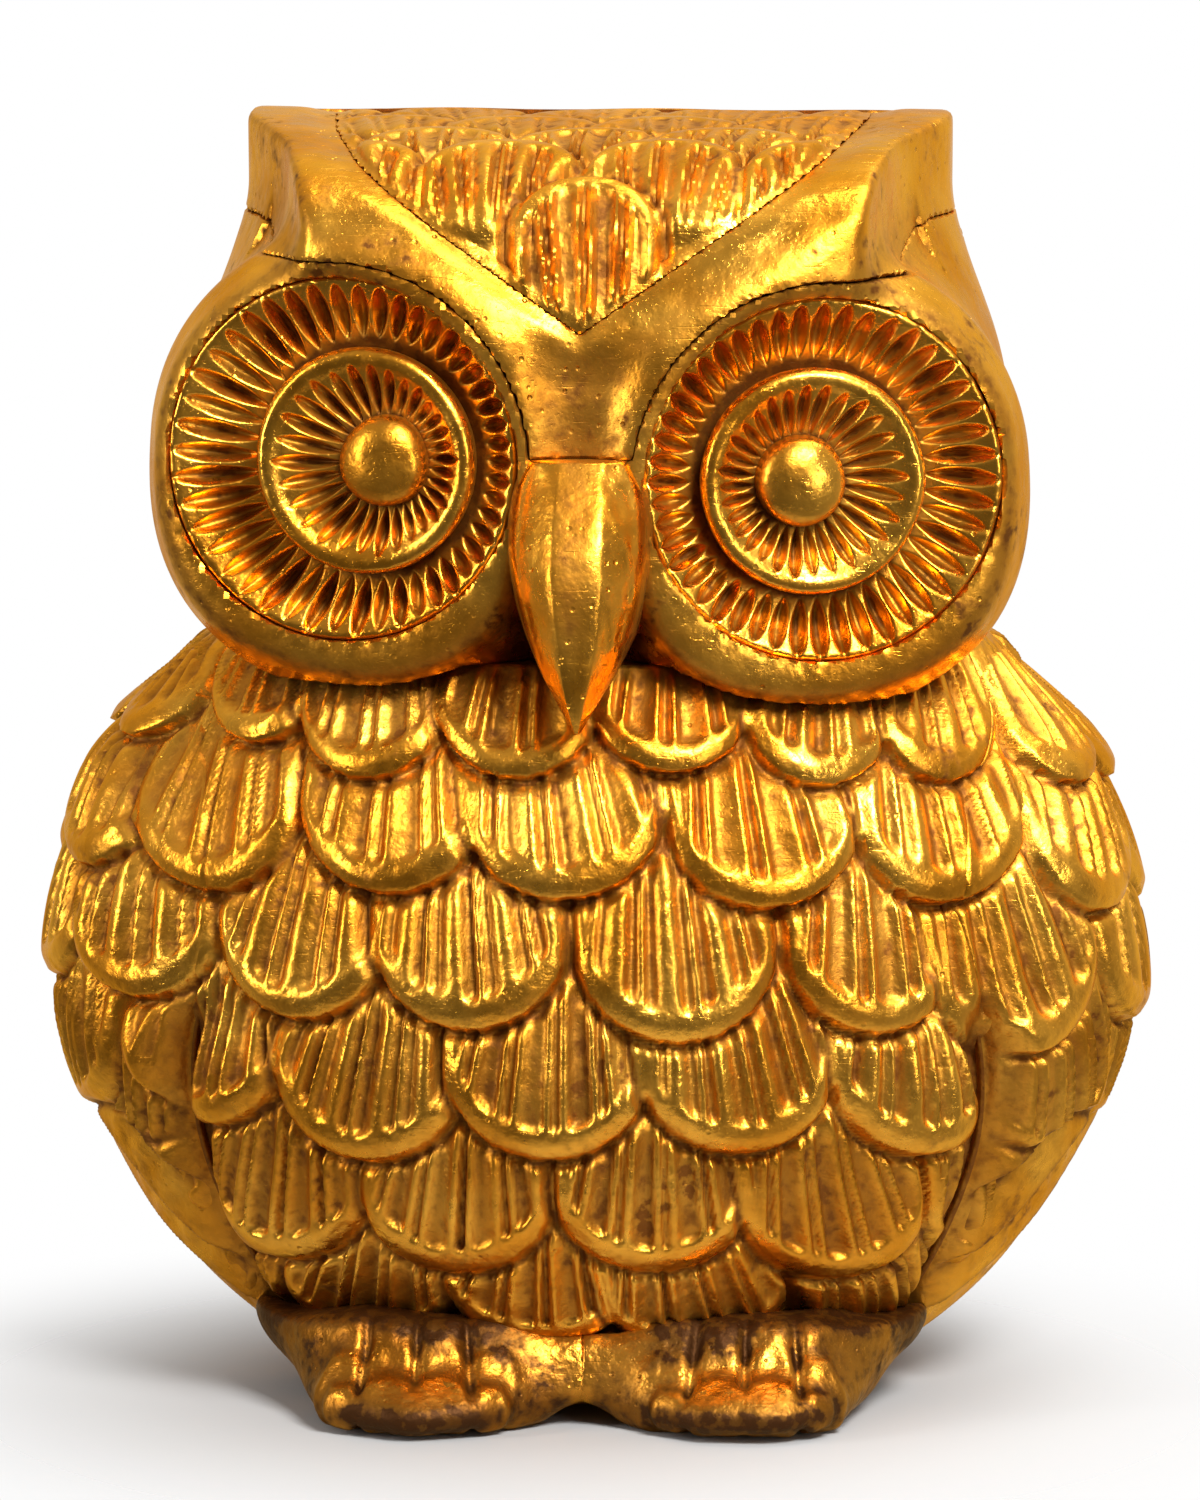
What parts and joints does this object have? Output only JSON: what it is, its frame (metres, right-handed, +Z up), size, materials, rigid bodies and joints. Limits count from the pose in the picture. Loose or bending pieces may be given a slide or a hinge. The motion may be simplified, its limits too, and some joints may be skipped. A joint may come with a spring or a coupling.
{
  "type": "owl figurine",
  "caption": "Round-bodied owl figurine with a flat crown, pointed ear corners, large ringed eyes, folded wings and stubby feet, built up from hollow brass castings.",
  "frame": {"origin": "middle of the flat underside that the owl stands on", "axes": "+Z up; the owl looks along -Y; +X is the owl's own left"},
  "size_m": [0.074, 0.0639, 0.085],
  "materials": {
    "polished_brass": "cast, then filed and buffed to a soft gloss, with fine pits and scratches and brown patina in the low places",
    "feathered_brass": "cast and chased: rounded feather edges rubbed bright, brown patina left in the graver strokes",
    "eye_brass": "chased flutes rubbed bright on their crests, dark patina between them",
    "dark_brass": "as cast, duller and darker, rubbed bright on the toes"
  },
  "bodies": {
    "root": {"base_plate": "dark_brass", "breast_shell": "feathered_brass", "back_shell": "feathered_brass", "tail_fan": "feathered_brass", "head_shell": "polished_brass", "brow_crown": "polished_brass", "crown_plate": "feathered_brass", "beak": "polished_brass", "wing_left": "feathered_brass", "wing_right": "feathered_brass", "foot_left": "dark_brass", "foot_right": "dark_brass", "eye_surround_left": "eye_brass", "eye_surround_right": "eye_brass", "eye_disc_left": "eye_brass", "eye_disc_right": "eye_brass", "pupil_rivet_left": "eye_brass", "pupil_rivet_right": "eye_brass"}
  },
  "joints": []
}
